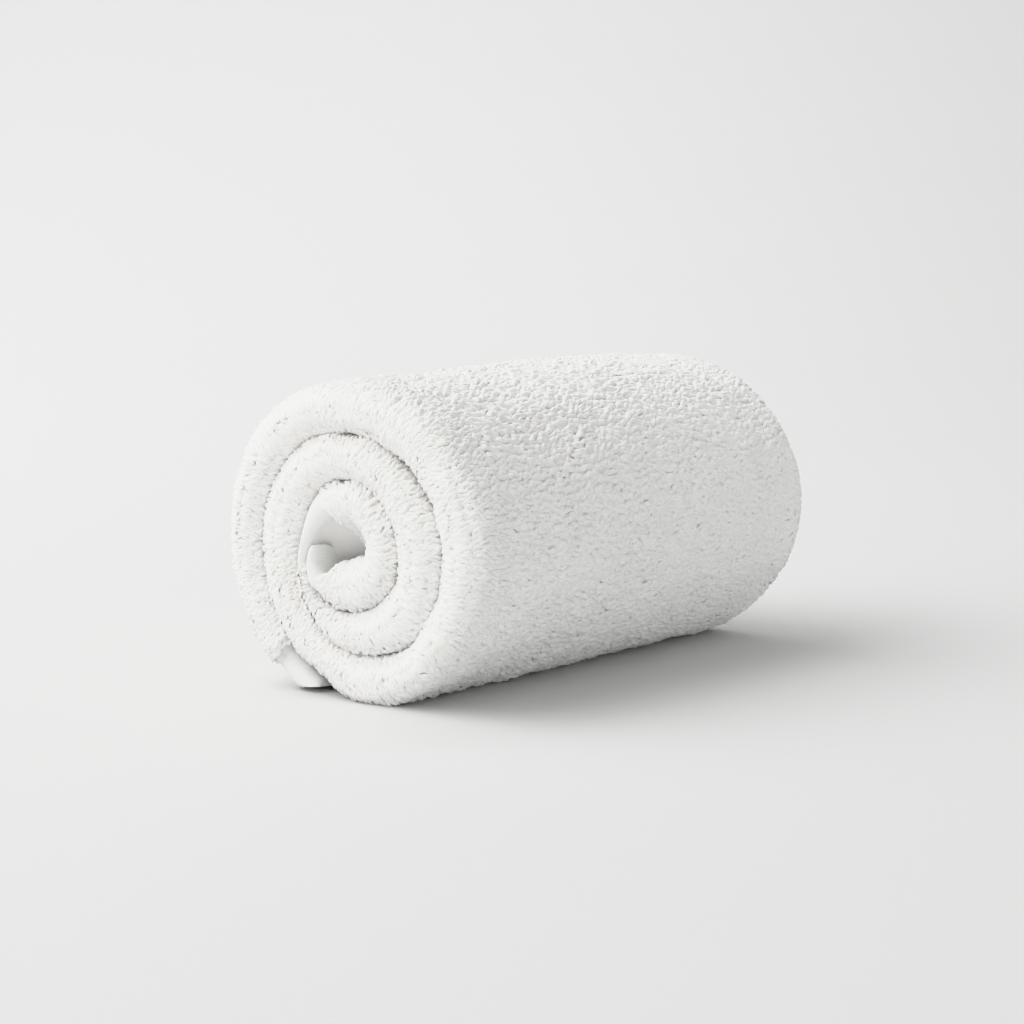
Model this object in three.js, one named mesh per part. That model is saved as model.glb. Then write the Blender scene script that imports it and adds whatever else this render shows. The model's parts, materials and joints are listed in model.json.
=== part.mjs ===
// A hand towel of white cotton terry, folded in half along its length and rolled up from one end.
// Millimetres, +Z up. The roll lies along Y on its flattened underside, with the origin under its middle.
// Its folded edge faces -Y, where the turns show, and the towel's two long edges face +Y.
import * as THREE from "three";

// The roll as it lies. Its axis is this high, and this far to +X of the middle of the whole.
const rollLength = 200;
const axisHeight = 54;
const axisAside = 0.75;
const turnGap = 0.8;

// The cloth is wound clockwise as seen from the folded edge. Each row is one turn, outermost first, and gives the
// distance from the roll's axis to the outer face of the cloth where that face looks each way. The places after the
// inner end, from the fourth turn's upper left on, give the wall of the hollow at the core.
const TURNS = [
  { down: 64.6, downLeft: 59.6, left: 58.6, upLeft: 57.6, up: 53.6, upRight: 54.6, right: 57.2, downRight: 54.8 },
  { down: 55.7, downLeft: 46.2, left: 43.0, upLeft: 40.2, up: 36.4, upRight: 34.6, right: 37.8, downRight: 40.4 },
  { down: 37.4, downLeft: 30.2, left: 23.9, upLeft: 22.6, up: 21.2, upRight: 19.2, right: 18.8, downRight: 21.6 },
  { down: 24.0, downLeft: 24.2, left: 15.8, upLeft: 9.6, up: 7.0, upRight: 5.4, right: 5.6, downRight: 6.4 },
  { down: 5.8, downLeft: 10.0, left: 10.0, upLeft: 10.0, up: 10.0, upRight: 10.0, right: 10.0, downRight: 10.0 },
];
const looseEndTurned = 19;
const innerEndTurned = 1164;

// Where the first turn ends it is pressed in as it passes under the loose end.
const pressedTurned = 379;
const pressedSpread = 24;
const pressedDepth = 4.2;
// The loose end's corner at the folded edge stands a little off the surface: by this much at its tip, and less with
// each degree and with each millimetre along the roll.
const cornerLift = 2.6;
const cornerLiftTurned = 18;
const cornerLiftLength = 26;
// The most that the doubled cloth measures through both layers, where the next turn leaves it room.
const terryThickness = 18;

// Plain-woven stretches without pile, placed by their distance along the cloth from one of its ends, with the
// thickness of the doubled cloth at both edges of the stretch. Their fold lies back from the terry's.
const PLAIN_STRETCHES = [
  { end: "loose", from: 0, to: 20, thickFrom: 9.6, thickTo: 10.4, setBack: 5 },
  { end: "inner", from: 71, to: 103, thickFrom: 10.5, thickTo: 4.4, setBack: 1.5 },
  { end: "inner", from: 0, to: 12, thickFrom: 3.4, thickTo: 7.0, setBack: 0.5 },
];
const plainBlend = 4;
const plainSetBackAtEdges = 0.2;

// The roll's girth at places along its length, as a share of the girth that the turns above give.
const LENGTHWISE = [
  { along: -100, girth: 0.985 },
  { along: -85, girth: 1.0 },
  { along: -50, girth: 0.995 },
  { along: -20, girth: 1.008 },
  { along: 20, girth: 1.02 },
  { along: 55, girth: 1.018 },
  { along: 85, girth: 1.006 },
  { along: 100, girth: 1.0 },
];

// The towel's two long edges at the far end, one in each layer. The core stands out beyond the rim there, fully so
// once this share of the cloth is wound.
const edgeGrooveDepth = 9;
const edgeGrooveWidth = 0.9;
const coreProud = 2;
const coreProudFrom = 0.7;

// Fineness of the faceted surface.
const degreesAStep = 9;
const degreesASum = 3;
const faceDivisions = 6;
const foldDivisions = 6;
const edgeDivisions = 3;
const hemRound = 2.2;
const hemBlunt = 0.45;
const HEM_STEPS = [0, 0.25, 1.0, 2.4, 5.0];
const innerHemSpread = 5;

const FACINGS = ["down", "downLeft", "left", "upLeft", "up", "upRight", "right", "downRight"];
const degreesAFacing = 360 / FACINGS.length;
const reaches = TURNS.flatMap((turn) => FACINGS.map((facing) => turn[facing]));

const smooth = (x) => {
  const t = THREE.MathUtils.clamp(x, 0, 1);
  return t * t * (3 - 2 * t);
};

// Value at `at` of a smooth curve through evenly spaced numbers.
function throughValues(values, at) {
  const k = THREE.MathUtils.clamp(Math.floor(at), 0, values.length - 2);
  const t = at - k;
  const value = (i) => values[THREE.MathUtils.clamp(i, 0, values.length - 1)];
  const [a, b, c, d] = [value(k - 1), value(k), value(k + 1), value(k + 2)];
  return b + 0.5 * t * (c - a + t * (2 * a - 5 * b + 4 * c - d + t * (3 * (b - c) + d - a)));
}

// Distance from the axis to the outer face of the cloth after it has turned this many degrees from straight down.
function outerFace(turned) {
  const pressed = smooth(1 - Math.abs(turned - pressedTurned) / pressedSpread);
  return throughValues(reaches, turned / degreesAFacing) - pressedDepth * pressed;
}

// The room that the cloth has there, between its outer face and the next turn in.
const roomAt = (turned) => outerFace(turned) - outerFace(turned + 360) - turnGap;

// Girth of the roll at a place along it.
function girthAt(along) {
  const next = Math.max(1, LENGTHWISE.findIndex((row) => row.along >= along));
  const [a, b] = [LENGTHWISE[next - 1], LENGTHWISE[next]];
  return THREE.MathUtils.lerp(a.girth, b.girth, smooth((along - a.along) / (b.along - a.along)));
}

// Length of cloth from the loose end to a place in the winding, along the fold between its two layers.
function clothLength(turned) {
  const steps = Math.ceil((turned - looseEndTurned) / degreesASum);
  const spread = (turned - looseEndTurned) / steps;
  let length = 0;
  for (let i = 0; i < steps; i++) {
    const middle = looseEndTurned + (i + 0.5) * spread;
    const radius = outerFace(middle) - Math.min(roomAt(middle), terryThickness) / 2;
    length += radius * THREE.MathUtils.degToRad(spread);
  }
  return length;
}

// Thickness of the doubled cloth, and how far its fold lies back, at a length from the loose end.
function clothAt(length) {
  let thickness = terryThickness;
  let setBack = 0;
  for (const plain of PLAIN_STRETCHES) {
    const fromEnd = plain.end === "loose" ? length : wholeLength - length;
    const along = (fromEnd - plain.from) / (plain.to - plain.from);
    const start = plain.from > 0 ? smooth(0.5 + (fromEnd - plain.from) / plainBlend) : 1;
    const share = start * smooth(0.5 + (plain.to - fromEnd) / plainBlend);
    const plainThickness = THREE.MathUtils.lerp(plain.thickFrom, plain.thickTo, smooth(along));
    thickness = THREE.MathUtils.lerp(thickness, plainThickness, share);
    setBack = THREE.MathUtils.lerp(setBack, plain.setBack, share);
  }
  const hem = THREE.MathUtils.clamp(Math.min(length, wholeLength - length) / hemRound, 0, 1);
  const hemShare = hemBlunt + (1 - hemBlunt) * Math.sqrt(hem * (2 - hem));
  return { thickness, setBack, hemShare };
}

// One cut straight across the wound cloth, as a closed loop of distances from the axis and places along it:
// out along the outer face, round the two long edges, back along the inner face and round the fold.
function crossCut(turned) {
  const { thickness, setBack, hemShare } = clothAt(clothLength(turned));
  const depth = Math.min(thickness, roomAt(turned));
  const middle = outerFace(turned) - depth / 2;
  const half = (depth / 2) * hemShare;
  const wound = (turned - looseEndTurned) / (innerEndTurned - looseEndTurned);
  const near = -rollLength / 2 + setBack + half;
  const far = rollLength / 2 - coreProud * (1 - smooth(wound / coreProudFrom)) - setBack * plainSetBackAtEdges;
  const layer = (half - edgeGrooveWidth / 2) / 2;
  const loop = [];
  for (let i = 0; i <= faceDivisions; i++)
    loop.push({ out: middle + half, along: THREE.MathUtils.lerp(near, far - layer, i / faceDivisions) });
  for (const side of [1, -1]) {
    const centre = middle + side * (half - layer);
    for (let i = 0; i <= edgeDivisions; i++) {
      const turn = (Math.PI * (i + 0.5)) / (edgeDivisions + 1);
      const out = centre + layer * Math.cos(turn);
      loop.push({ out, along: far - layer + layer * Math.sin(turn) });
    }
    if (side === 1)
      for (const offset of [1, -1])
        loop.push({ out: middle + (offset * edgeGrooveWidth) / 2, along: far - edgeGrooveDepth });
  }
  for (let i = faceDivisions; i >= 0; i--)
    loop.push({ out: middle - half, along: THREE.MathUtils.lerp(near, far - layer, i / faceDivisions) });
  for (let i = 1; i < foldDivisions; i++) {
    const turn = Math.PI * (1 + i / foldDivisions);
    loop.push({ out: middle + half * Math.cos(turn), along: near + half * Math.sin(turn) });
  }
  return loop;
}

// How far the loose end's corner stands off the surface there.
function liftAt(turned, along) {
  const share = THREE.MathUtils.clamp(1 - (turned - looseEndTurned) / cornerLiftTurned, 0, 1);
  return cornerLift * share * smooth(1 - (along + rollLength / 2) / cornerLiftLength);
}

// A point of a cut, in space. The roll swells upwards and sideways from its underside, which is flattened.
function inSpace({ out, along }, turned) {
  const angle = THREE.MathUtils.degToRad(270 - turned);
  const girth = girthAt(along);
  const z = girth * Math.max(liftAt(turned, along), axisHeight + out * Math.sin(angle));
  return new THREE.Vector3(axisAside + girth * out * Math.cos(angle), along, z);
}

// Places in the winding where the cloth is cut across: closer together at the two hemmed ends.
function cutPlaces() {
  const looseHem = HEM_STEPS.map((step) => looseEndTurned + step);
  const innerHem = HEM_STEPS.map((step) => innerEndTurned - innerHemSpread * step).reverse();
  const first = looseEndTurned + degreesAStep;
  const steps = Math.round((innerHem[0] - first) / degreesAStep);
  const between = Array.from({ length: steps }, (_, i) => THREE.MathUtils.lerp(first, innerHem[0], i / steps));
  return [...looseHem, ...between, ...innerHem];
}

// The wound cloth as one closed surface, its cuts joined in order and capped at the two ends.
function woundCloth() {
  const places = cutPlaces();
  const cuts = places.map((turned) => crossCut(turned));
  const round = cuts[0].length;
  const positions = cuts.flatMap((cut, i) => cut.flatMap((point) => inSpace(point, places[i]).toArray()));
  const faces = [];
  for (let i = 0; i + 1 < cuts.length; i++)
    for (let j = 0; j < round; j++) {
      const [a, b] = [i * round + j, i * round + ((j + 1) % round)];
      faces.push(a, a + round, b, b, a + round, b + round);
    }
  for (const [cut, start, flip] of [[cuts[0], 0, true], [cuts.at(-1), (cuts.length - 1) * round, false]]) {
    const outline = cut.map((point) => new THREE.Vector2(point.out, point.along));
    for (const [a, b, c] of THREE.ShapeUtils.triangulateShape(outline, []))
      faces.push(start + a, start + (flip ? b : c), start + (flip ? c : b));
  }
  const geometry = new THREE.BufferGeometry();
  geometry.setAttribute("position", new THREE.Float32BufferAttribute(positions, 3));
  geometry.setIndex(faces);
  geometry.computeVertexNormals();
  return geometry;
}

const whiteTerry = new THREE.MeshStandardMaterial({ color: 0xf2f1ee, roughness: 0.95, metalness: 0 });

const wholeLength = clothLength(innerEndTurned);

const group = new THREE.Group();
const towel = new THREE.Mesh(woundCloth(), whiteTerry);
towel.name = "rolled_towel";
group.add(towel);

export default group;
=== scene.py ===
"""A rolled hand towel of white cotton terry, built as real cloth around the solid of its wound form.

Metres, +Z up. The roll lies along Y, with the fold between its two layers at -Y and the towel's long edges
at +Y.
"""

import json
import math

import bpy
import numpy as np
from bpy.props import FloatProperty, FloatVectorProperty, IntProperty, PointerProperty
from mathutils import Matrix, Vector, noise

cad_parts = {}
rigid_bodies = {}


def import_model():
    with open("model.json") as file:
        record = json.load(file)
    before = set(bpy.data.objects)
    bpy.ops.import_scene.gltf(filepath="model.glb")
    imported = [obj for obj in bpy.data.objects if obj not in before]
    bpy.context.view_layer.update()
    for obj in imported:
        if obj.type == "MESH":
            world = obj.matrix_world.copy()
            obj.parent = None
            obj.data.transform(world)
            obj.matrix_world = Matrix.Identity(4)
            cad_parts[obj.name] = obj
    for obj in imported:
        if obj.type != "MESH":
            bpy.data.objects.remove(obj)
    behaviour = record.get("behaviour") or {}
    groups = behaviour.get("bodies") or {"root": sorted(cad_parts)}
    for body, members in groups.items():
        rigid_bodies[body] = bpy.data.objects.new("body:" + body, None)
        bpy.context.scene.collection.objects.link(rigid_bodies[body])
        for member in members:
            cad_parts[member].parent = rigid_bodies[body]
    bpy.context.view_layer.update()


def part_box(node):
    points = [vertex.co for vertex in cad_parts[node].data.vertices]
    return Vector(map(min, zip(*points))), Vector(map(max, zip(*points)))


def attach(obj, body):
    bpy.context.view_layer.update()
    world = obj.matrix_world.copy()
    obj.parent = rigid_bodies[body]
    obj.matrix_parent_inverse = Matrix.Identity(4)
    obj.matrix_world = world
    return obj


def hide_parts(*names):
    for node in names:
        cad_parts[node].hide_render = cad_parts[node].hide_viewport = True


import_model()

bl_info = {
    "name": "Rolled Hand Towel",
    "version": (1, 0, 0),
    "blender": (4, 5, 0),
    "location": "3D View > Sidebar > Towel",
    "description": "Builds a rolled terry hand towel: its folded cloth, looped pile and studio",
    "category": "Object",
}

SOLID = "rolled_towel"
solid_low, solid_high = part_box(SOLID)

# The winding, as the solid has it. The cloth is wound clockwise as seen from the folded edge. Each row is
# one turn, outermost first, with the distance from the roll's axis to the cloth's outer face where that
# face looks each way. The places after the inner end, from the fourth turn's upper left on, are the wall of
# the hollow at the core.
FACINGS = ("down", "down_left", "left", "up_left", "up", "up_right", "right", "down_right")
TURNS = [
    dict(down=0.0646, down_left=0.0596, left=0.0586, up_left=0.0576,
         up=0.0536, up_right=0.0546, right=0.0572, down_right=0.0548),
    dict(down=0.0557, down_left=0.0462, left=0.0430, up_left=0.0402,
         up=0.0364, up_right=0.0346, right=0.0378, down_right=0.0404),
    dict(down=0.0374, down_left=0.0302, left=0.0239, up_left=0.0226,
         up=0.0212, up_right=0.0192, right=0.0188, down_right=0.0216),
    dict(down=0.0240, down_left=0.0242, left=0.0158, up_left=0.0096,
         up=0.0070, up_right=0.0054, right=0.0056, down_right=0.0064),
    dict(down=0.0058, down_left=0.0100, left=0.0100, up_left=0.0100,
         up=0.0100, up_right=0.0100, right=0.0100, down_right=0.0100),
]
DEGREES_A_FACING = 360 / len(FACINGS)
REACHES = np.array([turn[facing] for turn in TURNS for facing in FACINGS])

# Degrees of winding, from straight down, at which the cloth's two ends lie. Where the first turn ends it is
# pressed in, as it passes under the loose end.
LOOSE_END_TURNED = 19.0
INNER_END_TURNED = 1164.0
PRESSED_TURNED = 379.0
PRESSED_SPREAD = 24.0
PRESSED_DEPTH = 0.0042
# Where the roll's axis lies, the gap between turns, and the most that the doubled cloth measures through.
AXIS_HEIGHT = 0.054
AXIS_ASIDE = 0.00075
TURN_GAP = 0.0008
TERRY_THICKNESS = 0.018

# The loose end's corner at the fold stands a little off the surface: by this much at its tip, and less with
# each degree and with each millimetre along the roll.
CORNER_LIFT = 0.0026
CORNER_LIFT_TURNED = 18.0
CORNER_LIFT_LENGTH = 0.026

# Plain-woven stretches, by their distance from one end of the cloth, with the doubled cloth's thickness at
# both edges. Their fold lies back from the terry's. The band by the core starts further in than the solid's,
# so that looped terry shows before it, as in the photograph.
PLAIN_STRETCHES = [
    dict(end="loose", start=0.0, stop=0.020, thick_start=0.0096, thick_stop=0.0104, set_back=0.0050),
    dict(end="inner", start=0.0775, stop=0.103, thick_start=0.0105, thick_stop=0.0044, set_back=0.0015),
    dict(end="inner", start=0.0, stop=0.012, thick_start=0.0034, thick_stop=0.0070, set_back=0.0005),
]
PLAIN_BLEND = 0.004
PLAIN_SET_BACK_AT_EDGES = 0.2

# The roll's girth at places along it, as a share of the girth that the turns give.
LENGTHWISE = [
    dict(along=-0.100, girth=0.985),
    dict(along=-0.085, girth=1.0),
    dict(along=-0.050, girth=0.995),
    dict(along=-0.020, girth=1.008),
    dict(along=0.020, girth=1.02),
    dict(along=0.055, girth=1.018),
    dict(along=0.085, girth=1.006),
    dict(along=0.100, girth=1.0),
]
# The hems at the cloth's two ends: how far their rounding reaches in, and the share of thickness at their
# tips.
HEM_ROUND = 0.0022
HEM_BLUNT = 0.45
# At the far end the core stands out beyond the rim, fully so once this share of the cloth is wound.
CORE_PROUD = 0.002
CORE_PROUD_FROM = 0.7

# How finely the cloth's mesh is divided, along the winding and round one cut across it. Its cuts are closer
# in the stretch round the core and at the hems.
WINDING_SAMPLES = 4561
CUT_SPACING = 0.0021
CORE_CUT_SPACING = 0.0011
CORE_STRETCH = 0.112
HEM_CUTS = (0.0, 0.0001, 0.0004, 0.0009, 0.0016)
OUTER_COLUMNS = 72
INNER_COLUMNS = 22
FOLD_COLUMNS = 30
RIM_COLUMNS = 5
SLIT_COLUMNS = 6
# Past this many degrees from the loose end a turn's two faces are covered, and the columns on them are
# gathered to this share towards the ends, where they show.
GATHERED_AFTER = 360
GATHERED_OVER = 30
GATHERED_SHARE = 0.85
GATHERED_POWER = 0.45

# The two layers at the far end: the slit between them and the narrow woven edge of each. In thin cloth
# neither takes more than this share of what it lies in.
SLIT_WIDTH = 0.0006
SLIT_SHARE = 0.12
EDGE_WIDTH = 0.0030
EDGE_THICKNESS = 0.0018
EDGE_SHARE = 0.7

# The ground under the pile lies this far below the solid's face where turns of the cloth meet. On the outer
# face that begins so many degrees after the loose end, and is complete over so many more.
HIDDEN_STAND = 0.0002
HIDDEN_AFTER = 330
HIDDEN_OVER = 40

# Where the gap between two turns opens a little more: the outer face of the inner one lies lower there.
DIPS = [
    dict(turned=536.0, spread=16.0, depth=0.0017),
    dict(turned=704.0, spread=26.0, depth=0.0014),
    dict(turned=800.0, spread=54.0, depth=0.0017),
    dict(turned=888.0, spread=22.0, depth=0.0013),
    dict(turned=1062.0, spread=26.0, depth=0.0014),
]

# The hollow at the core closes with depth: its upper left wall sinks across it, and the inner end slides
# back by some degrees.
SUNK_AT_TURNED = 862.0
SUNK_SPREAD = 150.0
SUNK_BY = 0.0175
SUNK_TOWARDS = (0.42, -0.91)
SUNK_FROM = 0.003
SUNK_DEPTH = 0.018
INNER_END_SLIDES = 18.0
SLIDES_FROM_TURNED = 1044.0

# Unevenness of the ground under the pile: wave length, height and the shift that keeps the waves apart.
LUMPS = [
    dict(wave=0.018, height=0.0007, shift=3.1),
    dict(wave=0.007, height=0.0005, shift=11.7),
    dict(wave=0.003, height=0.00025, shift=23.9),
]
# Partings of the pile that run with the turns on the fold, by their angle round it from the outer face.
PARTINGS = [
    dict(angle=44.0, sway=12.0, wave=0.045, depth=0.0005, width=12.0),
    dict(angle=88.0, sway=14.0, wave=0.060, depth=0.0006, width=12.0),
    dict(angle=132.0, sway=12.0, wave=0.038, depth=0.0005, width=12.0),
]

# The ribs and threads of the plain weave: pitch, share of the relief, how far they wander off their line,
# and the painted shade in the grooves between the ribs, as a share of the weave's colour.
RIB_PITCH = 0.0011
RIB_RELIEF = 0.5
THREAD_PITCH = 0.0008
THREAD_RELIEF = 0.22
RIB_WANDER = 3.0
RIB_GROOVE_SHADE = 0.975

# One loop of the pile, by kind: length along the cloth, height over the ground, and how it curls and snakes
# sideways.
LOOP_KINDS = [
    dict(length=0.0050, height=0.0006, curl=0.0010, snake=0.0000),
    dict(length=0.0044, height=0.0007, curl=-0.0011, snake=0.0002),
    dict(length=0.0054, height=0.0005, curl=0.0003, snake=0.0008),
    dict(length=0.0046, height=0.0006, curl=-0.0004, snake=-0.0007),
    dict(length=0.0038, height=0.0009, curl=0.0013, snake=0.0002),
]
# Places along a loop and its share of full thickness there. Its two ends go this far into the ground, and
# the lower the power of its arch, the squarer its shoulders.
LOOP_RINGS = ((0.0, 0.45), (0.22, 1.0), (0.5, 1.0), (0.78, 1.0), (1.0, 0.45))
LOOP_SINK = 0.0007
ARCH_POWER = 0.45
# Corners of a loop's section, sideways and up, for a half thickness of 1. It is open below, where it stands
# in the ground, and wide at its foot, so that neighbours meet.
LOOP_SECTION = ((1.15, -0.7), (0.5, 0.8), (-0.5, 0.8), (-1.15, -0.7))
# What chance gives each loop: how far it leans and rolls, in radians, and shares of its length, width and
# height.
LEAN_CHANCE = (-0.22, 0.22)
ROLL_CHANCE = (-0.4, 0.4)
LENGTH_CHANCE = (0.8, 1.25)
WIDTH_CHANCE = (0.85, 1.15)
HEIGHT_CHANCE = (0.75, 1.2)

# The rows in which loops stand, by the part of the roll: the distance from row to row along the winding and
# from loop to loop in a row, how far every other row is shifted, how unevenly they stand, their size, how
# high they rise for their size on the fold's crest and beside it, and how freely they swing.
ROWS = {
    "side": dict(row=0.0011, loop=0.0036, shift=0.5, jitter=0.45, size=1.0, crest=0.95, rise=0.95,
                 swing=0.25),
    "fold": dict(row=0.0007, loop=0.0026, shift=0.4, jitter=0.30, size=0.78, crest=0.42, rise=0.95,
                 swing=0.22),
}
# The fold's crest ends where its outward direction is this share sideways.
CREST_ENDS = 0.72
# Towards the far end the pile lies flatter, down to this share, and round its rim the loops are smaller.
FLATTER_FROM = -0.060
FLATTER_SHARE = 0.5
SMALLER_FROM = 0.086
SMALLER_SHARE = 0.55
# How far a row as a whole shifts along itself, in loops, and the length of cloth over which that changes.
ROW_SWAY = 0.8
ROW_SWAY_WAVE = 0.030
# Slow turns of the pile that neighbouring loops share, and the further turn of those beside the fold.
SWIRLS = [
    dict(wave=0.026, turn=0.5, shift=41.3),
    dict(wave=0.009, turn=0.45, shift=57.9),
]
EDGE_TURN = 1.2
EDGE_TURN_DEPTH = 0.022

# Where the pile stands. The side's pieces part at these degrees of winding, and the last one goes on under
# the loose end. The fold's pieces take in a few columns of the faces beside it.
SIDE_NAMES = ("pile_side_left", "pile_side_top", "pile_side_right")
SIDE_SPLITS = (140.0, 262.0)
OVERLAP_TURNED = 10.0
FOLD_INNER_COLUMNS = 6
FOLD_OUTER_COLUMNS = 5
# Between turns the pile goes this deep from the fold, and deeper on the walls of the hollow at the core.
LOOPED_DEPTH = 0.011
HOLLOW_LOOPED_DEPTH = 0.028
HOLLOW_FROM_TURNED = 800.0
# A spot takes a loop where the ground is piled to this share, and no yarn comes lower than this.
PILED_SHARE = 0.6
LOWEST_YARN = 0.0001

# The photograph's camera: the angle round the roll and above the floor, its distance and lens, and where it
# looks.
CAMERA_AZIMUTH = 39.05
CAMERA_ELEVATION = 7.1
CAMERA_DISTANCE = 0.856
CAMERA_LOOKS_AT = (AXIS_ASIDE, -0.01113, 0.05573)
CAMERA_LENS_MM = 83.52
CAMERA_SENSOR_MM = 36.0

# The studio: a floor that curves up into a back wall, and large soft lights.
FLOOR_HALF_WIDTH = 4.0
FLOOR_NEAR = -3.0
FLOOR_FAR = 0.9
WALL_BEND = 2.6
WALL_BEND_STEPS = 12
WALL_TOP = 5.0
WORLD_COLOUR = (1.0, 1.0, 1.0)
WORLD_STRENGTH = 0.53
LIGHTS = [
    dict(name="key", place=(-1.0, -1.0, 2.0), size=2.6, power=26.0, aim=(0, 0, 0.05)),
    dict(name="left", place=(-1.5, -0.4, 1.8), size=2.2, power=20.5, aim=(0, 0, 0.05)),
    dict(name="front", place=(-1.0, -2.0, 1.3), size=2.2, power=13.5, aim=(0, 0, 0.05)),
    dict(name="low_fill", place=(1.5, -1.2, 0.15), size=0.7, power=4.6, aim=(0, 0, 0.0)),
    dict(name="right_fill", place=(1.8, -0.2, 0.3), size=0.8, power=1.0, aim=(0, 0, 0.0)),
    dict(name="backdrop", place=(-0.9, 1.1, 2.4), size=1.8, power=16.6, aim=(-2.0, 2.5, 0.5)),
]


def smooth(x):
    """A step from 0 to 1 with level ends."""
    t = np.clip(x, 0, 1)
    return t * t * (3 - 2 * t)


def mix(a, b, t):
    return a + (b - a) * t


def through_values(values, at):
    """Values at `at` of a smooth curve through evenly spaced numbers."""
    at = np.asarray(at, float)
    k = np.clip(np.floor(at).astype(int), 0, len(values) - 2)
    t = at - k
    a, b, c, d = (values[np.clip(k + i, 0, len(values) - 1)] for i in (-1, 0, 1, 2))
    return b + 0.5 * t * (c - a + t * (2 * a - 5 * b + 4 * c - d + t * (3 * (b - c) + d - a)))


def outer_face(turned):
    """Distance from the axis to the cloth's outer face, after so many degrees of winding."""
    turned = np.asarray(turned, float)
    pressed = smooth(1 - np.abs(turned - PRESSED_TURNED) / PRESSED_SPREAD)
    return through_values(REACHES, turned / DEGREES_A_FACING) - PRESSED_DEPTH * pressed


def room_at(turned):
    """The room that the cloth has between its outer face and the next turn in."""
    return outer_face(turned) - outer_face(np.asarray(turned) + 360) - TURN_GAP


def girth_at(along):
    """Girth of the roll at places along it."""
    places = np.array([row["along"] for row in LENGTHWISE])
    girths = np.array([row["girth"] for row in LENGTHWISE])
    k = np.clip(np.searchsorted(places, along) - 1, 0, len(places) - 2)
    t = smooth((along - places[k]) / (places[k + 1] - places[k]))
    return mix(girths[k], girths[k + 1], t)


def winding_lengths():
    """Degrees of winding in fine steps, and the length of cloth from the loose end to each."""
    turned = np.linspace(LOOSE_END_TURNED, INNER_END_TURNED, WINDING_SAMPLES)
    middle = (turned[1:] + turned[:-1]) / 2
    radius = outer_face(middle) - np.minimum(room_at(middle), TERRY_THICKNESS) / 2
    lengths = np.concatenate([[0], np.cumsum(radius * np.radians(np.diff(turned)))])
    return turned, lengths


WINDING, WINDING_LENGTHS = winding_lengths()
WHOLE_LENGTH = float(WINDING_LENGTHS[-1])


def cut_lengths():
    """Places along the cloth where its mesh is cut across: closer together round the core and at the hems."""
    hem = np.array(HEM_CUTS)
    core_from = WHOLE_LENGTH - CORE_STRETCH
    turns = np.linspace(hem[-1], core_from, round((core_from - hem[-1]) / CUT_SPACING), endpoint=False)
    core_to = WHOLE_LENGTH - hem[-1]
    core = np.linspace(core_from, core_to, round((core_to - core_from) / CORE_CUT_SPACING), endpoint=False)
    return np.concatenate([hem[:-1], turns, core, WHOLE_LENGTH - hem[::-1]])


def cloth_at(length):
    """The doubled cloth at lengths from its loose end: thickness, set-back of the fold, share of pile, and
    share of thickness at the hems.
    """
    thickness = np.full_like(length, TERRY_THICKNESS)
    set_back = np.zeros_like(length)
    pile = np.ones_like(length)
    for plain in PLAIN_STRETCHES:
        from_end = length if plain["end"] == "loose" else WHOLE_LENGTH - length
        across = (from_end - plain["start"]) / (plain["stop"] - plain["start"])
        begun = smooth(0.5 + (from_end - plain["start"]) / PLAIN_BLEND) if plain["start"] > 0 else 1
        share = begun * smooth(0.5 + (plain["stop"] - from_end) / PLAIN_BLEND)
        thickness = mix(thickness, mix(plain["thick_start"], plain["thick_stop"], smooth(across)), share)
        set_back = mix(set_back, plain["set_back"], share)
        pile = pile * (1 - share)
    hem = np.clip(np.minimum(length, WHOLE_LENGTH - length) / HEM_ROUND, 0, 1)
    return thickness, set_back, pile, HEM_BLUNT + (1 - HEM_BLUNT) * np.sqrt(hem * (2 - hem))


def corner_lift(turned, along):
    """How far the loose end's corner stands off the surface there."""
    share = np.clip(1 - (turned - LOOSE_END_TURNED) / CORNER_LIFT_TURNED, 0, 1)
    return CORNER_LIFT * share * smooth(1 - (along - solid_low.y) / CORNER_LIFT_LENGTH)


def in_space(out, along, turned):
    """Points of the roll, from their distances from the axis, places along it and degrees of winding."""
    angle = np.radians(270 - turned)
    girth = girth_at(along)
    height = girth * np.maximum(corner_lift(turned, along), AXIS_HEIGHT + out * np.sin(angle))
    return np.stack([AXIS_ASIDE + girth * out * np.cos(angle), along, height], axis=-1)


def waves(points, wave, shift):
    """Smooth noise at points, of one wave length."""
    flat = points.reshape(-1, 3) / wave + shift
    return np.array([noise.noise(Vector(p)) for p in flat]).reshape(points.shape[:-1])


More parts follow.
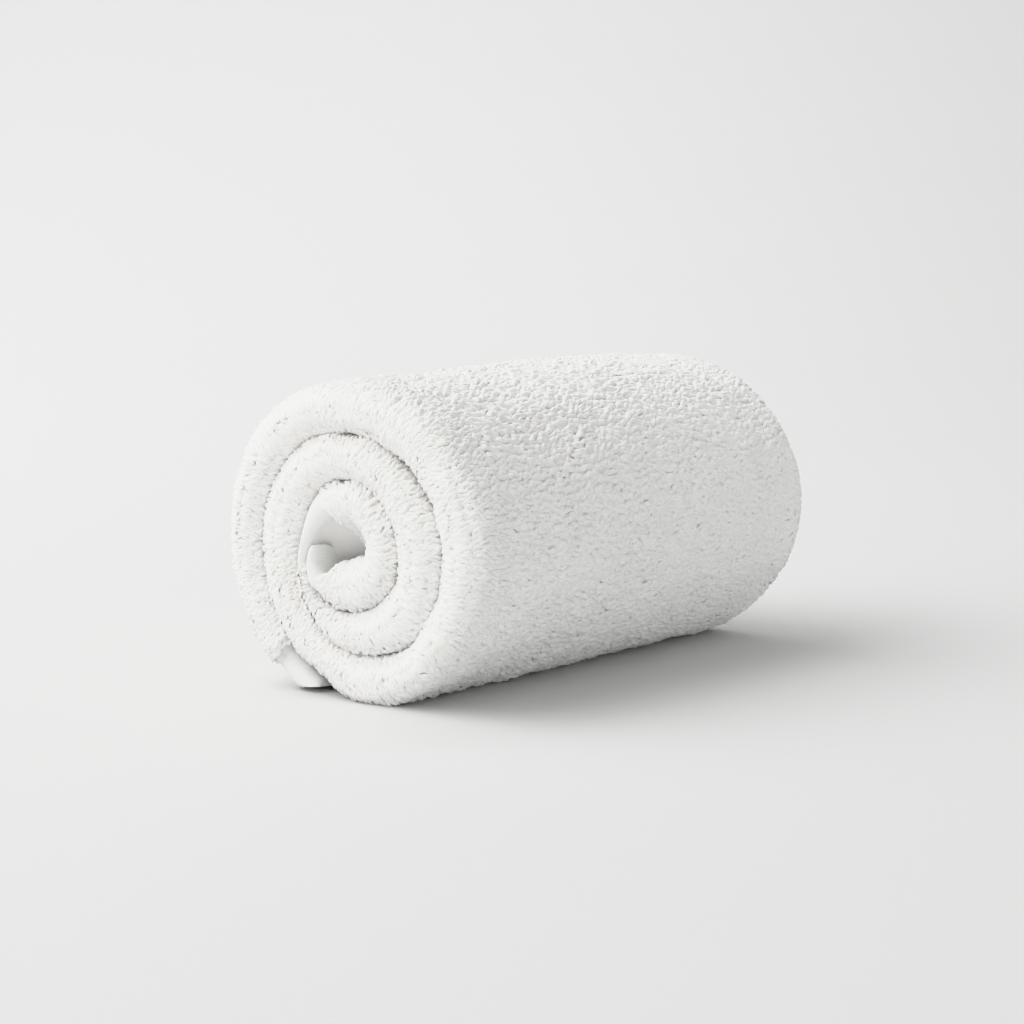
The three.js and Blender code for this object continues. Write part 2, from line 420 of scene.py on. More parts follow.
class WoundCloth:
    """The cloth's surface under its pile, as a grid: a row for each cut across the winding, a column for each
    place round the cut. The columns run along the outer face from the fold to the far edge, round the outer
    layer's edge, down and up the slit between the layers, round the inner layer's edge, back along the inner
    face and round the fold.
    """

    def __init__(self, stand):
        """stand is how far the pile stands over this surface."""
        self.length = cut_lengths()
        self.turned = np.interp(self.length, WINDING_LENGTHS, WINDING)
        thickness, set_back, self.pile, hem_share = cloth_at(self.length)
        depth = np.minimum(thickness, room_at(self.turned))
        half_length = (solid_high.y - solid_low.y) / 2
        self.middle = outer_face(self.turned) - depth / 2
        full_half = depth / 2 * hem_share
        hidden = smooth((self.turned - LOOSE_END_TURNED - HIDDEN_AFTER) / HIDDEN_OVER)
        dip = sum(row["depth"] * smooth(1 - np.abs(self.turned - row["turned"]) / row["spread"])
                  for row in DIPS)
        self.outer_half = full_half - mix(stand, HIDDEN_STAND, hidden) * self.pile - dip
        self.inner_half = full_half - HIDDEN_STAND * self.pile
        self.half = full_half - stand * self.pile
        self.near = solid_low.y + set_back + full_half
        wound = (self.turned - LOOSE_END_TURNED) / (INNER_END_TURNED - LOOSE_END_TURNED)
        proud = CORE_PROUD * (1 - smooth(wound / CORE_PROUD_FROM))
        self.far = half_length - proud - set_back * PLAIN_SET_BACK_AT_EDGES
        self.sections()
        self.points = self.placed()
        self.normals = self.grid_normals()
        self.roughen()

    def placed(self):
        """The points in space, with the hollow at the core closing with depth."""
        turned = self.turned[:, None]
        self.depth = self.along - (self.near - self.half)[:, None]
        deep = smooth((self.depth - SUNK_FROM) / SUNK_DEPTH)
        slid = turned - INNER_END_SLIDES * deep * smooth(
            (turned - SLIDES_FROM_TURNED) / (INNER_END_TURNED - SLIDES_FROM_TURNED))
        out = self.out + outer_face(slid) - outer_face(turned)
        points = in_space(out, self.along, slid)
        inward = smooth(0.5 - (self.out - self.middle[:, None]) / self.half[:, None])
        share = deep * inward * smooth(1 - np.abs(turned - SUNK_AT_TURNED) / SUNK_SPREAD)
        points[..., 0] += SUNK_BY * SUNK_TOWARDS[0] * share
        points[..., 2] += SUNK_BY * SUNK_TOWARDS[1] * share
        return points

    def sections(self):
        """Lays out each cut's columns as distances from the axis and places along it."""
        half, near, far = (x[:, None] for x in (self.half, self.near, self.far))
        outer_half, inner_half = self.outer_half[:, None], self.inner_half[:, None]
        slit = np.minimum(SLIT_WIDTH / 2, SLIT_SHARE * half)
        layer = (half + slit) / 2
        body = (half - slit) / 2
        edge = np.minimum(EDGE_THICKNESS / 2, EDGE_SHARE * body)
        body_far = far - EDGE_WIDTH - body
        covered = smooth((self.turned[:, None] - LOOSE_END_TURNED - GATHERED_AFTER) / GATHERED_OVER)

        def face(columns):
            even = np.linspace(0, 1, columns)[None, :]
            gathered = 0.5 + 0.5 * np.sign(even - 0.5) * np.abs(2 * even - 1) ** GATHERED_POWER
            return mix(near, body_far, mix(even, gathered, GATHERED_SHARE * covered))

        def edge_of_layer():
            """One layer's far edge, from its outer side to its inner: body, woven edge, body."""
            out, along = [], []
            for turn in np.radians(np.linspace(0, 90, RIM_COLUMNS)):
                out.append(edge + (body - edge) * math.cos(turn))
                along.append(body_far + body * math.sin(turn))
            for turn in np.radians((0, 45, 90)):
                out.append(edge * math.cos(turn))
                along.append(far - edge + edge * math.sin(turn))
            out, along = np.hstack(out), np.hstack(along)
            return np.hstack([out, -out[:, -2::-1]]), np.hstack([along, along[:, -2::-1]])

        def walls(start, stop):
            return mix(start, stop, np.linspace(0, 1, SLIT_COLUMNS)[None, :])

        outer_face_along = face(OUTER_COLUMNS)
        inner_face_along = face(INNER_COLUMNS)[:, ::-1]
        edge_out, edge_along = edge_of_layer()
        down, up = walls(body_far, near)[:, 1:], walls(near, body_far)[:, :-1]
        fold_turn = np.radians(np.linspace(180, 0, FOLD_COLUMNS + 1, endpoint=False))[None, 1:]
        offsets = [
            outer_half + 0 * outer_face_along[:, :-1],
            layer + edge_out,
            slit + 0 * down,
            -slit + 0 * up,
            -layer + edge_out,
            -inner_half + 0 * inner_face_along[:, 1:],
            mix(inner_half, outer_half, 0.5 + 0.5 * np.cos(fold_turn)) * np.cos(fold_turn),
        ]
        places = [
            outer_face_along[:, :-1],
            edge_along,
            down,
            up,
            edge_along,
            inner_face_along[:, 1:],
            near - half * np.sin(fold_turn),
        ]
        self.out = self.middle[:, None] + np.hstack(offsets)
        self.along = np.hstack(places)
        ends = np.cumsum([x.shape[1] for x in places])
        starts = np.concatenate([[0], ends[:-1]])
        parts = ("outer", "outer_edge", "down", "up", "inner_edge", "inner", "fold")
        self.columns = {part: range(a, b) for part, a, b in zip(parts, starts, ends)}
        self.fold_angle = np.full(self.out.shape[1], -180.0)
        self.fold_angle[self.columns["fold"]] = np.degrees(fold_turn[0])

    def grid_normals(self):
        """Unit normals, out of the cloth."""
        down_rows = np.gradient(self.points, axis=0)
        wrapped = np.concatenate([self.points[:, -1:], self.points, self.points[:, :1]], axis=1)
        round_cut = (wrapped[:, 2:] - wrapped[:, :-2]) / 2
        normals = np.cross(down_rows, round_cut)
        return normals / np.maximum(np.linalg.norm(normals, axis=-1, keepdims=True), 1e-12)

    def roughen(self):
        """Raises the lumps of the ground and lowers the partings of the pile."""
        rise = sum(row["height"] * waves(self.points, row["wave"], row["shift"]) for row in LUMPS)
        for row in PARTINGS:
            sway = np.array([noise.noise(Vector((x / row["wave"], row["angle"], 0))) for x in self.length])
            centre = row["angle"] + row["sway"] * sway[:, None]
            away = (self.fold_angle[None, :] - centre) / row["width"]
            rise = rise - row["depth"] * np.exp(-away * away)
        shown = np.ones(self.out.shape[1])
        for part in ("outer_edge", "down", "up", "inner_edge"):
            shown[self.columns[part]] = 0
        self.points = self.points + self.normals * (rise * self.pile[:, None] * shown)[..., None]
        floor = corner_lift(self.turned[:, None], self.along)
        self.points[..., 2] = np.maximum(self.points[..., 2], floor)

    def across(self):
        """Lengths round each cut from the first column, with the whole way round at the end."""
        closed = np.concatenate([self.points, self.points[:, :1]], axis=1)
        steps = np.linalg.norm(np.diff(closed, axis=1), axis=-1)
        return np.concatenate([np.zeros((len(steps), 1)), np.cumsum(steps, axis=1)], axis=1)


def grid_faces(rows, columns, closed):
    """Quads of a grid of points, its columns joined into a ring if closed."""
    last = columns if closed else columns - 1
    i, j = np.meshgrid(np.arange(rows - 1), np.arange(last), indexing="ij")
    after = (j + 1) % columns
    here, below = i * columns, (i + 1) * columns
    quads = np.stack([here + j, below + j, below + after, here + after], axis=-1)
    return quads.reshape(-1, 4)


def new_piece(name, mesh):
    piece = bpy.data.objects.new(name, mesh)
    bpy.context.scene.collection.objects.link(piece)
    return piece


def cloth_mesh(cloth):
    """The cloth as one closed mesh. Faces of its plain-woven stretches and edges take the second material."""
    rows, columns = cloth.out.shape
    faces = grid_faces(rows, columns, closed=True)
    caps = [list(range(columns)), [(rows - 1) * columns + j for j in range(columns)][::-1]]
    mesh = bpy.data.meshes.new("towel_cloth")
    mesh.from_pydata(cloth.points.reshape(-1, 3).tolist(), [], faces.tolist() + caps)
    row, column = np.divmod(np.arange(len(faces)), columns)
    across = cloth.across()
    corner_rows = np.stack([row, row + 1, row + 1, row], axis=-1)
    corner_columns = np.stack([column, column, column + 1, column + 1], axis=-1)
    corners = np.stack([cloth.length[corner_rows], across[corner_rows, corner_columns]], axis=-1)
    coordinates = np.zeros((len(mesh.loops), 2))
    coordinates[: corners.size // 2] = corners.reshape(-1, 2)
    for start, at in ((corners.size // 2, 0.0), (corners.size // 2 + columns, WHOLE_LENGTH)):
        coordinates[start:start + columns, 0] = at
        coordinates[start:start + columns, 1] = across[0, :columns]
    mesh.uv_layers.new(name="cloth").data.foreach_set("uv", coordinates.astype(np.float32).ravel())
    plain_row = (cloth.pile[:-1] + cloth.pile[1:]) / 2 < 0.5
    plain_column = np.zeros(columns, bool)
    for part in ("outer_edge", "inner_edge"):
        edge = cloth.columns[part]
        plain_column[edge.start + RIM_COLUMNS:edge.stop - RIM_COLUMNS] = True
    plain = plain_row[row] | plain_column[column]
    mesh.polygons.foreach_set("material_index", np.concatenate([plain, [True, True]]).astype(np.int32))
    mesh.polygons.foreach_set("use_smooth", np.ones(len(mesh.polygons), bool))
    mesh.update()
    return mesh


class Wire:
    """One output of a node. Its sums, differences and products add Math nodes."""

    def __init__(self, graph, socket):
        self.graph = graph
        self.socket = socket

    def __add__(self, other):
        return self.graph.maths("ADD", self, other)

    def __radd__(self, other):
        return self.graph.maths("ADD", other, self)

    def __sub__(self, other):
        return self.graph.maths("SUBTRACT", self, other)

    def __rsub__(self, other):
        return self.graph.maths("SUBTRACT", other, self)

    def __mul__(self, other):
        return self.graph.maths("MULTIPLY", self, other)

    def __rmul__(self, other):
        return self.graph.maths("MULTIPLY", other, self)


class Graph:
    """A node tree that is written as Python. Sockets are named, or numbered where several share a name: a Mix
    node's colours are inputs 6 and 7 and output 2, a Random Value node's decimal numbers are inputs 2 and 3
    and output 1, and its whole numbers are inputs 4 and 5 and output 2.
    """

    def __init__(self, tree):
        self.tree = tree

    def node(self, kind, settings=None, sockets=None, output=0):
        """Adds a node. Its settings are set first, and then its sockets take numbers, colours or wires."""
        made = self.tree.nodes.new(kind)
        for name, value in (settings or {}).items():
            setattr(made, name, value)
        for name, value in (sockets or {}).items():
            if isinstance(value, Wire):
                self.tree.links.new(value.socket, made.inputs[name])
            else:
                made.inputs[name].default_value = value
        return Wire(self, made.outputs[output])

    def maths(self, operation, *values):
        return self.node("ShaderNodeMath", {"operation": operation}, dict(enumerate(values)))

    def blend(self, share, first, second):
        """A colour between two, by share."""
        sockets = {"Factor": share, 6: first, 7: second}
        return self.node("ShaderNodeMix", {"data_type": "RGBA"}, sockets, output=2)

    def spread(self, value, low, high):
        """value taken from the range low to high to the range 0 to 1, and held inside it."""
        sockets = {"Value": value, "From Min": low, "From Max": high}
        return self.node("ShaderNodeMapRange", {"clamp": True}, sockets)


def new_material(name, finish):
    """A material whose colour and relief come from finish(graph), and whose other values are constant."""
    material = bpy.data.materials.new(name)
    material.use_nodes = True
    graph = Graph(material.node_tree)
    shader = material.node_tree.nodes["Principled BSDF"]
    for socket, value in finish(graph).items():
        if isinstance(value, Wire):
            material.node_tree.links.new(value.socket, shader.inputs[socket])
        else:
            shader.inputs[socket].default_value = value
    return material


def colour(values):
    return (*values, 1.0)


def cotton_loops(graph):
    """Looped cotton pile: soft white yarn, with its twist as fine relief."""
    tones = bpy.context.scene.towel_colours
    place = graph.node("ShaderNodeTexCoord", output="Object")
    broad = graph.node("ShaderNodeTexNoise", sockets={"Vector": place, "Scale": 60.0, "Detail": 2.0})
    yarn = graph.node("ShaderNodeTexNoise", sockets={"Vector": place, "Scale": 2600.0, "Detail": 1.0})
    relief = graph.node("ShaderNodeBump", sockets={"Strength": 0.2, "Distance": 0.0001, "Height": yarn})
    base = graph.blend(graph.spread(broad, 0.35, 0.65), colour(tones.cotton_shade), colour(tones.cotton))
    return {"Base Color": base, "Roughness": 0.95, "Normal": relief, "Specular IOR Level": 0.2,
            "Sheen Weight": 0.6, "Sheen Roughness": 0.5}


def pile_ground(graph):
    """The ground between the loops, with the feet of the loops as relief. Its colour is painted shade,
    darkest where the relief is low.
    """
    tones = bpy.context.scene.towel_colours
    place = graph.node("ShaderNodeTexCoord", output="Object")
    feet = graph.node("ShaderNodeTexNoise", sockets={"Vector": place, "Scale": 900.0, "Detail": 2.0})
    relief = graph.node("ShaderNodeBump", sockets={"Strength": 0.5, "Distance": 0.0001, "Height": feet})
    # Painted shade: a darker, warmer tone where the feet's relief is low, and over all the ground between
    # loops and turns.
    base = graph.blend(graph.spread(feet, 0.3, 0.6), colour(tones.ground), colour(tones.cotton_shade))
    return {"Base Color": base, "Roughness": 0.95, "Normal": relief, "Specular IOR Level": 0.2}


def plain_weave(graph):
    """Plain-woven cotton: fine ribs along the roll, crossed by finer threads, with painted shade in the
    grooves between the ribs.
    """
    tones = bpy.context.scene.towel_colours
    flat = graph.node("ShaderNodeUVMap", {"uv_map": "cloth"})
    along = graph.node("ShaderNodeSeparateXYZ", sockets={"Vector": flat}, output="X")
    across = graph.node("ShaderNodeSeparateXYZ", sockets={"Vector": flat}, output="Y")
    wander = graph.node("ShaderNodeTexNoise", sockets={"Vector": flat, "Scale": 140.0, "Detail": 1.0})
    rib = graph.maths("SINE", along * (math.tau / RIB_PITCH) + wander * RIB_WANDER)
    thread = graph.maths("SINE", across * (math.tau / THREAD_PITCH) + wander * RIB_WANDER)
    height = rib * RIB_RELIEF + thread * THREAD_RELIEF
    relief = graph.node("ShaderNodeBump", sockets={"Strength": 0.8, "Distance": 0.00003, "Height": height})
    # Painted shade: the weave is darker where the rib's relief is low, in the grooves between the ribs.
    low = [RIB_GROOVE_SHADE * tone for tone in tones.weave]
    base = graph.blend(graph.spread(rib, -1.0, 0.4), colour(low), colour(tones.weave))
    return {"Base Color": base, "Roughness": 0.85, "Normal": relief, "Specular IOR Level": 0.25,
            "Sheen Weight": 0.15, "Sheen Roughness": 0.5}


def pale_floor(graph):
    tones = bpy.context.scene.towel_colours
    return {"Base Color": colour(tones.floor), "Roughness": 0.9, "Specular IOR Level": 0.1}


def loop_mesh(kind, number):
    """A short arch of yarn with its two feet sunk in the ground, along X with Z up."""
    radius = bpy.context.scene.towel_sizes.loop_thickness / 2

    def spine(t):
        rise = math.sin(math.pi * min(max(t, 0), 1))
        sideways = kind["curl"] * rise + kind["snake"] * math.sin(2 * math.pi * t)
        height = (kind["height"] + LOOP_SINK) * rise ** ARCH_POWER - LOOP_SINK
        return Vector((kind["length"] * (t - 0.5), sideways, height))

    points = []
    for t, share in LOOP_RINGS:
        ahead = (spine(t + 0.01) - spine(t - 0.01)).normalized()
        side = ahead.cross(Vector((0, 0, 1))).normalized()
        up = side.cross(ahead)
        points += [spine(t) + radius * share * (aside * side + high * up) for aside, high in LOOP_SECTION]
    faces = grid_faces(len(LOOP_RINGS), len(LOOP_SECTION), closed=False)
    mesh = bpy.data.meshes.new(f"loop_{number}")
    mesh.from_pydata(points, [], faces.tolist())
    mesh.polygons.foreach_set("use_smooth", np.ones(len(faces), bool))
    return mesh


def pile_tree():
    """Geometry Nodes that stand loops on a patch of ground, with the patch's own attributes as guide."""
    tree = bpy.data.node_groups.new("pile_on_ground", "GeometryNodeTree")
    inputs = [
        ("Spots", "NodeSocketGeometry"),
        ("Loops", "NodeSocketCollection"),
        ("Swing", "NodeSocketFloat"),
        ("Seed", "NodeSocketInt"),
        ("Finish", "NodeSocketMaterial"),
    ]
    for name, kind in inputs:
        tree.interface.new_socket(name, in_out="INPUT", socket_type=kind)
    tree.interface.new_socket("Pile", in_out="OUTPUT", socket_type="NodeSocketGeometry")
    graph = Graph(tree)
    entry = tree.nodes.new("NodeGroupInput")
    spots, loops, freedom, seed, finish = (Wire(graph, entry.outputs[i]) for i in range(len(inputs)))

    def attribute(name, kind):
        return graph.node("GeometryNodeInputNamedAttribute", {"data_type": kind}, {"Name": name})

    def chance(limits, shift):
        sockets = {2: limits[0], 3: limits[1], "Seed": seed + shift}
        return graph.node("FunctionNodeRandomValue", {"data_type": "FLOAT"}, sockets, output=1)

    def rotation_about(axis, angle):
        return graph.node("FunctionNodeAxisAngleToRotation", sockets={"Axis": axis, "Angle": angle})

    normal = attribute("upward", "FLOAT_VECTOR")
    lie = attribute("lie", "FLOAT_VECTOR")
    girth = attribute("girth", "FLOAT")
    rise = attribute("rise", "FLOAT")
    upright = graph.node("FunctionNodeAlignRotationToVector", {"axis": "Z"}, {"Vector": normal})
    along = graph.node("FunctionNodeAlignRotationToVector", {"axis": "X", "pivot_axis": "Z"},
                       {"Rotation": upright, "Vector": lie})
    turn = rotation_about((0, 0, 1), chance((-1.0, 1.0), 1) * freedom + attribute("swirl", "FLOAT"))
    lean = rotation_about((0, 1, 0), chance(LEAN_CHANCE, 2) * rise)
    roll = rotation_about((1, 0, 0), chance(ROLL_CHANCE, 3) * rise)
    rotation = along
    for by in (turn, lean, roll):
        rotation = graph.node("FunctionNodeRotateRotation", {"rotation_space": "LOCAL"},
                              {"Rotation": rotation, "Rotate By": by})
    size = graph.node("ShaderNodeCombineXYZ", sockets={
        "X": chance(LENGTH_CHANCE, 4) * girth,
        "Y": chance(WIDTH_CHANCE, 5) * girth,
        "Z": chance(HEIGHT_CHANCE, 6) * rise,
    })
    kinds = graph.node("GeometryNodeCollectionInfo", sockets={
        "Collection": loops, "Separate Children": True, "Reset Children": True})
    choice = graph.node("FunctionNodeRandomValue", {"data_type": "INT"},
                        {4: 0, 5: len(LOOP_KINDS) - 1, "Seed": seed}, output=2)
    stood = graph.node("GeometryNodeInstanceOnPoints", sockets={
        "Points": spots, "Instance": kinds, "Pick Instance": True, "Instance Index": choice,
        "Rotation": rotation, "Scale": size})
    plain = graph.node("GeometryNodeRealizeInstances", sockets={"Geometry": stood})
    finished = graph.node("GeometryNodeSetMaterial", sockets={"Geometry": plain, "Material": finish})
    leave = tree.nodes.new("NodeGroupOutput")
    tree.links.new(finished.socket, leave.inputs[0])
    return tree


def pile_patches(cloth):
    """The patches of ground that carry pile, one for each piece: from which to which degree of winding they
    reach, and their strips of columns of the cloth's grid.
    """
    first_turn = LOOSE_END_TURNED + 360
    outer, inner, fold = (cloth.columns[part] for part in ("outer", "inner", "fold"))
    edges = [cloth.columns[part] for part in ("outer_edge", "inner_edge")]
    last_inner = [j for j in inner if j >= inner.stop - FOLD_INNER_COLUMNS]
    near_columns = last_inner + list(fold) + list(outer)[:FOLD_OUTER_COLUMNS]
    side_columns = list(outer)[FOLD_OUTER_COLUMNS - 1:] + [outer.stop]
    rims = [list(edge)[:RIM_COLUMNS + 1] for edge in edges]
    rims += [list(edge)[-RIM_COLUMNS - 1:] for edge in edges]
    turns = (LOOSE_END_TURNED, *SIDE_SPLITS, first_turn + OVERLAP_TURNED)

    def patch(name, start, stop, strips, fold=False):
        return dict(name=name, turns=(start, stop), strips=strips, fold=fold)

    return [
        patch("pile_fold_outer_turn", LOOSE_END_TURNED, first_turn, [near_columns], fold=True),
        patch("pile_fold_inner_turns", first_turn, INNER_END_TURNED, [near_columns], fold=True),
        patch("pile_far_edges", LOOSE_END_TURNED, INNER_END_TURNED, rims),
        *(patch(name, start, stop, [side_columns])
          for name, start, stop in zip(SIDE_NAMES, turns[:-1], turns[1:])),
    ]


def loop_spots(cloth, columns, start, stop, rows, chances):
    """Where loops stand on one strip of the cloth's grid: their fractional row and column numbers."""
    first, last = np.interp([start, stop], cloth.turned, cloth.length)
    found = []
    for number, length in enumerate(np.arange(first, last, rows["row"])):
        cut = np.interp(length, cloth.length, np.arange(len(cloth.length)))
        line = cloth.points[int(cut)][columns]
        reach = np.concatenate([[0], np.cumsum(np.linalg.norm(np.diff(line, axis=0), axis=1))])
        sway = ROW_SWAY * noise.noise(Vector((length / ROW_SWAY_WAVE, start, 0)))
        shift = rows["shift"] * (number % 2) + sway
        middle = reach[-1] / 2
        count = int(middle / rows["loop"]) + 1
        places = middle + (np.arange(-count, count + 1) + shift) * rows["loop"]
        places = places + rows["jitter"] * rows["loop"] * (chances.random(len(places)) - 0.5)
        places = places[(places > 0) & (places < reach[-1])]
        cuts = cut + rows["jitter"] * (chances.random(len(places)) - 0.5) * rows["row"] / CUT_SPACING
        found.append(np.stack([cuts, np.interp(places, reach, np.arange(len(columns)))], axis=1))
    spots = np.concatenate(found)
    return np.clip(spots[:, 0], 0, len(cloth.length) - 1.001), np.minimum(spots[:, 1], len(columns) - 1.001)


def between(grid, rows, columns):
    """Values of a grid at fractional rows and columns."""
    i, j = rows.astype(int), columns.astype(int)
    down, over = rows - i, columns - j
    if grid.ndim > 2:
        down, over = down[:, None], over[:, None]
    return mix(mix(grid[i, j], grid[i + 1, j], down), mix(grid[i, j + 1], grid[i + 1, j + 1], down), over)


def loop_guides(cloth, patch, rows, chances):
    """What guides the loops of a patch: their places, which way is up and which way they lie there, how far
    they turn, how large they are and how high they rise.
    """
    start, stop = patch["turns"]
    hidden = (cloth.turned > LOOSE_END_TURNED + 360)[:, None]
    on_outer = np.zeros(cloth.out.shape, bool)
    on_outer[:, cloth.columns["outer"]] = True
    reach = np.where(cloth.turned > HOLLOW_FROM_TURNED, HOLLOW_LOOPED_DEPTH, LOOPED_DEPTH)[:, None]
    bare = (cloth.depth > reach) & ~(on_outer & ~hidden)
    piled = np.where(bare & patch["fold"], 0.0, cloth.pile[:, None] * np.ones(cloth.out.shape))
    beside = smooth((np.abs(np.cos(np.radians(cloth.fold_angle))) - CREST_ENDS) / (1 - CREST_ENDS))
    heights = mix(rows["crest"], rows["rise"], beside) * np.ones(cloth.out.shape)
    guides = dict(places=[], upward=[], lie=[], swirl=[], rise=[])
    for columns in patch["strips"]:
        columns = np.array(columns)
        cuts, over = loop_spots(cloth, columns, start, stop, rows, chances)
        kept = between(piled[:, columns], cuts, over) > PILED_SHARE
        cuts, over = cuts[kept], over[kept]
        strip = cloth.points[:, columns]
        depth = between(cloth.depth[:, columns], cuts, over)
        places = between(strip, cuts, over)
        swirl = sum(row["turn"] * waves(places, row["wave"], row["shift"]) for row in SWIRLS)
        if not patch["fold"]:
            swirl = swirl + EDGE_TURN * smooth(1 - depth / EDGE_TURN_DEPTH)
        guides["places"].append(places)
        guides["upward"].append(between(cloth.normals[:, columns], cuts, over))
        guides["lie"].append(between(np.gradient(strip, axis=1), cuts, over))
        guides["swirl"].append(swirl)
        guides["rise"].append(between(heights[:, columns], cuts, over))
    guides = {name: np.concatenate(parts) for name, parts in guides.items()}
    along = guides["places"][:, 1]
    smaller, flatter = (
        smooth((along - start) / (solid_high.y - start)) for start in (SMALLER_FROM, FLATTER_FROM))
    guides["girth"] = rows["size"] * mix(1, SMALLER_SHARE, smaller)
    guides["rise"] = guides["rise"] * mix(1, FLATTER_SHARE, flatter)
    return guides


def spots_mesh(name, guides):
    """A patch's spots as bare points, with the loops' guides as attributes."""
    mesh = bpy.data.meshes.new(name)
    mesh.from_pydata(guides["places"].tolist(), [], [])
    for guide in ("upward", "lie"):
        data = mesh.attributes.new(guide, "FLOAT_VECTOR", "POINT").data
        data.foreach_set("vector", guides[guide].astype(np.float32).ravel())
    for guide in ("swirl", "girth", "rise"):
        data = mesh.attributes.new(guide, "FLOAT", "POINT").data
        data.foreach_set("value", guides[guide].astype(np.float32))
    return mesh


def stand_pile(cloth, patch, number, tree, kinds, finish):
    """One piece of pile, from its patch of ground."""
    sizes = bpy.context.scene.towel_sizes
    rows = ROWS["fold" if patch["fold"] else "side"]
    chances = np.random.default_rng(sizes.seed + number)
    ground = new_piece("spots", spots_mesh(patch["name"], loop_guides(cloth, patch, rows, chances)))
    modifier = ground.modifiers.new("pile", "NODES")
    modifier.node_group = tree
    values = {
        "Loops": kinds,
        "Swing": rows["swing"],
        "Seed": sizes.seed + number,
        "Finish": finish,
    }
    for socket in tree.interface.items_tree:
        if socket.name in values:
            modifier[socket.identifier] = values[socket.name]
    evaluated = ground.evaluated_get(bpy.context.evaluated_depsgraph_get())
    mesh = bpy.data.meshes.new_from_object(evaluated)
    ground_mesh = ground.data
    bpy.data.objects.remove(ground)
    bpy.data.meshes.remove(ground_mesh)
    places = np.zeros(len(mesh.vertices) * 3, np.float32)
    mesh.vertices.foreach_get("co", places)
    places[2::3] = np.maximum(places[2::3], LOWEST_YARN)
    mesh.vertices.foreach_set("co", places)
    mesh.update()
    if not mesh.polygons:
        raise RuntimeError(f"{patch['name']} has no loops")
    return new_piece(patch["name"], mesh)


def settle(piece):
    """Lets a piece ride with the roll."""
    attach(piece, "root")
    return piece


class TowelSizes(bpy.types.PropertyGroup):
    pile_stand: FloatProperty(
        name="Pile Height", description="How far the pile stands over its ground",
        default=0.0010, min=0.0, max=0.003, unit="LENGTH", subtype="DISTANCE", precision=4)
    loop_thickness: FloatProperty(
        name="Loop Thickness", description="Thickness of the yarn in a loop",
        default=0.0018, min=0.0004, max=0.003, unit="LENGTH", subtype="DISTANCE", precision=4)
    seed: IntProperty(name="Seed", description="Seed of all that is random in the pile", default=7, min=0)


class TowelColours(bpy.types.PropertyGroup):
    cotton: FloatVectorProperty(
        name="Cotton", description="Colour of the cotton yarn",
        default=(0.96, 0.957, 0.948), subtype="COLOR", size=3, min=0, max=1)
    cotton_shade: FloatVectorProperty(
        name="Cotton Shade", description="Colour of the yarn where the pile is a little darker",
        default=(0.945, 0.938, 0.918), subtype="COLOR", size=3, min=0, max=1)
    # Painted shade: the ground is darker and warmer than the yarn, standing for the shade in the gaps between
    # loops and between turns.
    ground: FloatVectorProperty(
        name="Ground", description="Colour of the ground under the pile",
        default=(0.90, 0.882, 0.85), subtype="COLOR", size=3, min=0, max=1)
    weave: FloatVectorProperty(
        name="Weave", description="Colour of the plain weave",
        default=(0.89, 0.887, 0.872), subtype="COLOR", size=3, min=0, max=1)
    floor: FloatVectorProperty(
        name="Floor", description="Colour of the studio floor",
        default=(0.723, 0.723, 0.720), subtype="COLOR", size=3, min=0, max=1)


class TOWEL_OT_cloth(bpy.types.Operator):
    """Makes the folded and rolled cloth with its plain-woven stretches, edges and hems"""

    bl_idname = "towel.cloth"
    bl_label = "Rolled Cloth"

    def execute(self, context):
        cloth = WoundCloth(context.scene.towel_sizes.pile_stand)
        piece = new_piece("towel_cloth", cloth_mesh(cloth))
        piece.data.materials.append(new_material("pile_ground", pile_ground))
        piece.data.materials.append(new_material("plain_weave", plain_weave))
        settle(piece)
        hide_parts(SOLID)
        return {"FINISHED"}


class TOWEL_OT_pile(bpy.types.Operator):
    """Stands the looped pile on the cloth, in a piece for each part of the roll"""

    bl_idname = "towel.pile"
    bl_label = "Looped Pile"

    def execute(self, context):
        cloth = WoundCloth(context.scene.towel_sizes.pile_stand)
        kinds = bpy.data.collections.new("loop_kinds")
        context.scene.collection.children.link(kinds)
        for number, kind in enumerate(LOOP_KINDS):
            kinds.objects.link(bpy.data.objects.new(f"loop_{number}", loop_mesh(kind, number)))
        tree = pile_tree()
        finish = new_material("cotton_loops", cotton_loops)
        made = [
            settle(stand_pile(cloth, patch, number, tree, kinds, finish))
            for number, patch in enumerate(pile_patches(cloth))
        ]
        for loop in list(kinds.objects):
            bpy.data.objects.remove(loop)
        bpy.data.collections.remove(kinds)
        bpy.data.node_groups.remove(tree)
        return {"FINISHED"}


class TOWEL_OT_stage(bpy.types.Operator):
    """Makes the pale floor, the soft studio light and the camera"""

    bl_idname = "towel.stage"
    bl_label = "Studio"

    def execute(self, context):
        floor = new_piece("studio_floor", studio_mesh())
        floor.data.materials.append(new_material("pale_floor", pale_floor))
        for row in LIGHTS:
            new_light(row)
        world = bpy.data.worlds.new("studio")
        world.use_nodes = True
        world.node_tree.nodes["Background"].inputs["Color"].default_value = colour(WORLD_COLOUR)
        world.node_tree.nodes["Background"].inputs["Strength"].default_value = WORLD_STRENGTH
        context.scene.world = world
        context.scene.view_settings.view_transform = "Khronos PBR Neutral"
        new_camera()
        return {"FINISHED"}


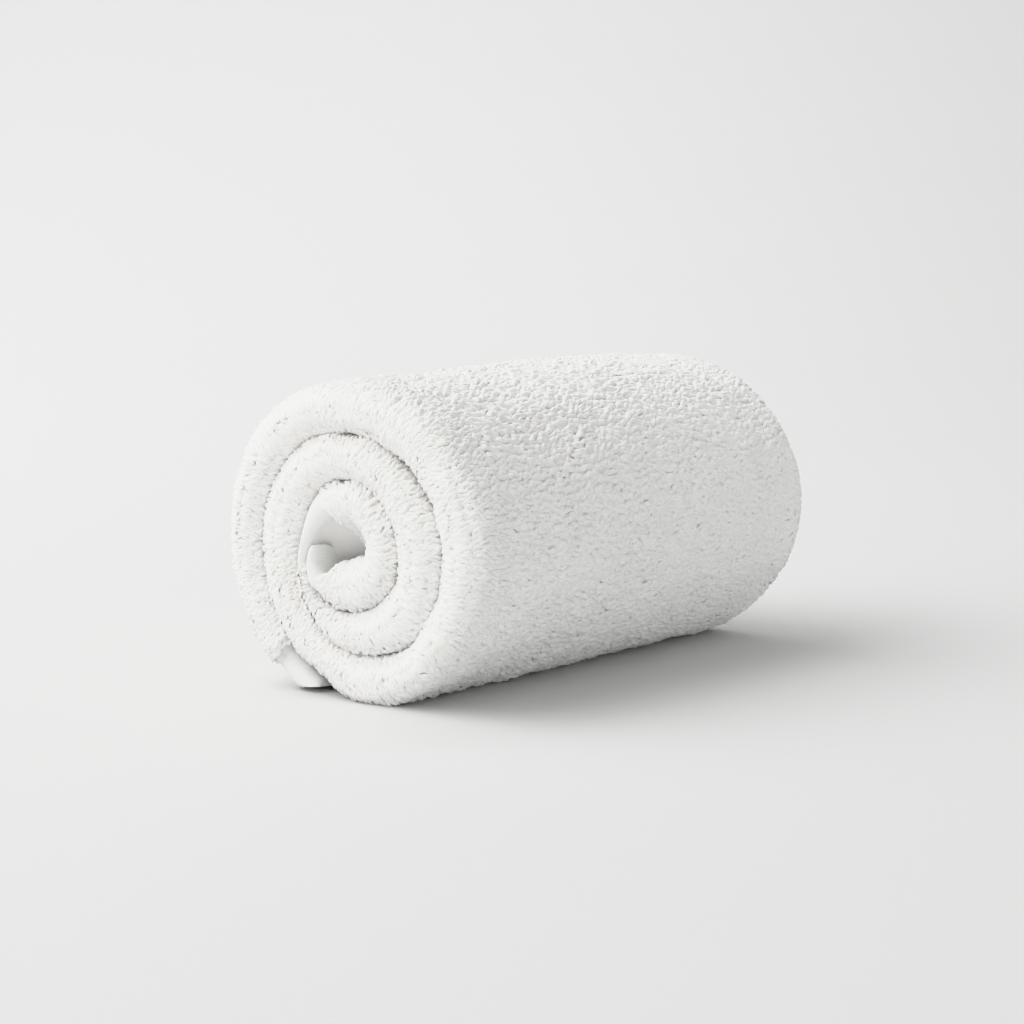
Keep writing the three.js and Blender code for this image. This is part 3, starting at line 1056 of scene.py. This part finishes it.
def studio_mesh():
    """Floor and wall as one sweep, in line with the camera's view."""
    profile = [(FLOOR_NEAR, 0.0), (FLOOR_FAR, 0.0)]
    for step in range(1, WALL_BEND_STEPS + 1):
        turn = math.pi / 2 * step / WALL_BEND_STEPS
        profile.append((FLOOR_FAR + WALL_BEND * math.sin(turn), WALL_BEND * (1 - math.cos(turn))))
    profile.append((FLOOR_FAR + WALL_BEND, WALL_TOP))
    turn = math.radians(CAMERA_AZIMUTH)
    ahead, side = Vector((-math.sin(turn), math.cos(turn), 0)), Vector((math.cos(turn), math.sin(turn), 0))
    points = [ahead * y + side * x + Vector((0, 0, z)) for y, z in profile
              for x in (-FLOOR_HALF_WIDTH, FLOOR_HALF_WIDTH)]
    faces = [(2 * i, 2 * i + 1, 2 * i + 3, 2 * i + 2) for i in range(len(profile) - 1)]
    mesh = bpy.data.meshes.new("studio_floor")
    mesh.from_pydata(points, [], faces)
    mesh.polygons.foreach_set("use_smooth", np.ones(len(faces), bool))
    return mesh


def new_light(row):
    lamp = bpy.data.lights.new(row["name"], "AREA")
    lamp.energy = row["power"]
    lamp.shape = "DISK"
    lamp.size = row["size"]
    light = new_piece(row["name"], lamp)
    light.location = row["place"]
    light.rotation_euler = (Vector(row["aim"]) - light.location).to_track_quat("-Z", "Y").to_euler()


def new_camera():
    azimuth, elevation = math.radians(CAMERA_AZIMUTH), math.radians(CAMERA_ELEVATION)
    back = Vector((math.sin(azimuth) * math.cos(elevation), -math.cos(azimuth) * math.cos(elevation),
                   math.sin(elevation)))
    lens = bpy.data.cameras.new("camera")
    lens.sensor_width = CAMERA_SENSOR_MM
    lens.lens = CAMERA_LENS_MM
    camera = new_piece("camera", lens)
    camera.location = Vector(CAMERA_LOOKS_AT) + back * CAMERA_DISTANCE
    camera.rotation_euler = (-back).to_track_quat("-Z", "Y").to_euler()
    bpy.context.scene.camera = camera


class TOWEL_PT_sidebar(bpy.types.Panel):
    """Lists the towel's sizes, colours and steps in the 3D view's sidebar"""

    bl_idname = "TOWEL_PT_sidebar"
    bl_label = "Rolled Towel"
    bl_space_type = "VIEW_3D"
    bl_region_type = "UI"
    bl_category = "Towel"

    def draw(self, context):
        column = self.layout.column()
        for group in (context.scene.towel_sizes, context.scene.towel_colours):
            for name in group.__annotations__:
                column.prop(group, name)
        for step in STEPS:
            column.operator(step.bl_idname)


STEPS = (TOWEL_OT_stage, TOWEL_OT_cloth, TOWEL_OT_pile)
CLASSES = (TowelSizes, TowelColours, *STEPS, TOWEL_PT_sidebar)


def register():
    for item in CLASSES:
        bpy.utils.register_class(item)
    bpy.types.Scene.towel_sizes = PointerProperty(type=TowelSizes)
    bpy.types.Scene.towel_colours = PointerProperty(type=TowelColours)


def unregister():
    del bpy.types.Scene.towel_colours
    del bpy.types.Scene.towel_sizes
    for item in reversed(CLASSES):
        bpy.utils.unregister_class(item)


def main():
    register()
    bpy.ops.towel.stage()
    bpy.ops.towel.cloth()
    bpy.ops.towel.pile()


if __name__ == "__main__":
    main()
